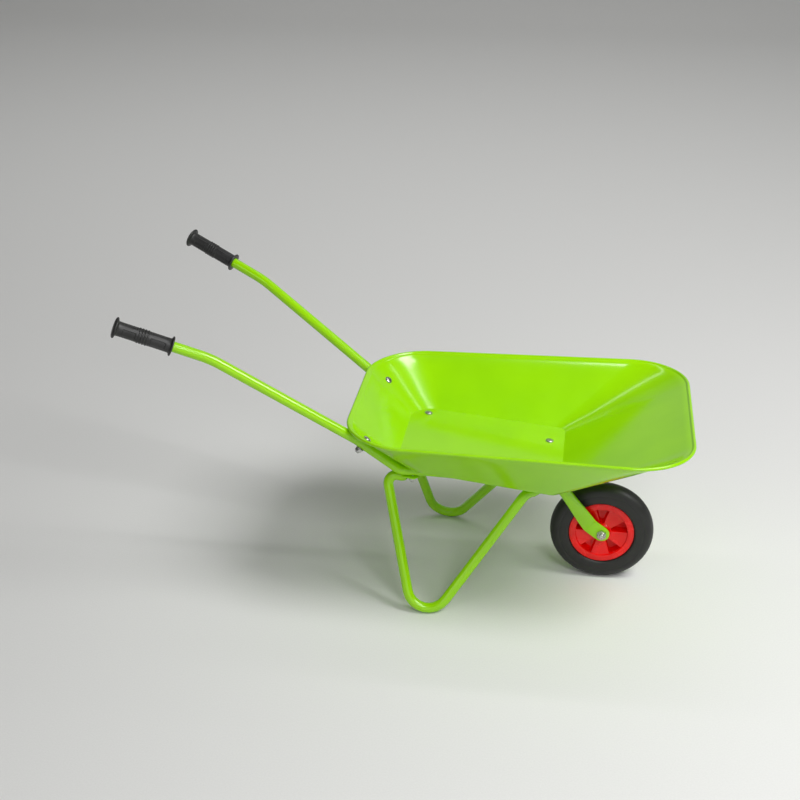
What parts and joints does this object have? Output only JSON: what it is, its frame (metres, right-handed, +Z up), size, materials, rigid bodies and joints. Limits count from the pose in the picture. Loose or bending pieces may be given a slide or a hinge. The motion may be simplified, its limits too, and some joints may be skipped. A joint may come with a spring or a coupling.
{
  "type": "wheelbarrow",
  "caption": "Child-size steel wheelbarrow with a pressed tray, bent tube handles, V legs and a plastic wheel that spins on its axle.",
  "frame": {"origin": "on the ground, at the middle of the overall length and width", "axes": "+X forwards over the wheel, +Y to the left handle, +Z up"},
  "size_m": [0.8002, 0.42, 0.46],
  "materials": {
    "lime_enamel": "glossy lime-green stoved enamel on pressed sheet and tube",
    "zinc_steel": "bright zinc-plated fasteners",
    "red_plastic": "glossy red moulding",
    "black_rubber": "plain black tyre, satin",
    "black_plastic": "soft black moulded grip"
  },
  "bodies": {
    "barrow": {"tray": "lime_enamel", "main_tube_left": "lime_enamel", "main_tube_right": "lime_enamel", "leg_left": "lime_enamel", "leg_right": "lime_enamel", "grip_left": "black_plastic", "grip_right": "black_plastic", "wall_bolts": "zinc_steel", "wall_washers": "zinc_steel", "wall_nuts": "zinc_steel", "rear_floor_bolts": "zinc_steel", "rear_floor_washers": "zinc_steel", "rear_floor_nuts": "zinc_steel", "front_floor_bolts": "zinc_steel", "front_floor_washers": "zinc_steel", "front_floor_nuts": "zinc_steel", "axle_bolt": "zinc_steel", "axle_nut": "zinc_steel", "axle_sleeve": "zinc_steel", "axle_washers": "zinc_steel"},
    "wheel": {"wheel_rim": "red_plastic", "tyre": "black_rubber"}
  },
  "joints": [
    {"name": "wheel_spin", "type": "hinge", "parent": "barrow", "child": "wheel", "pos_m": [0.2801, 0, 0.078], "axis": [0, 1, 0], "continuous": true}
  ]
}
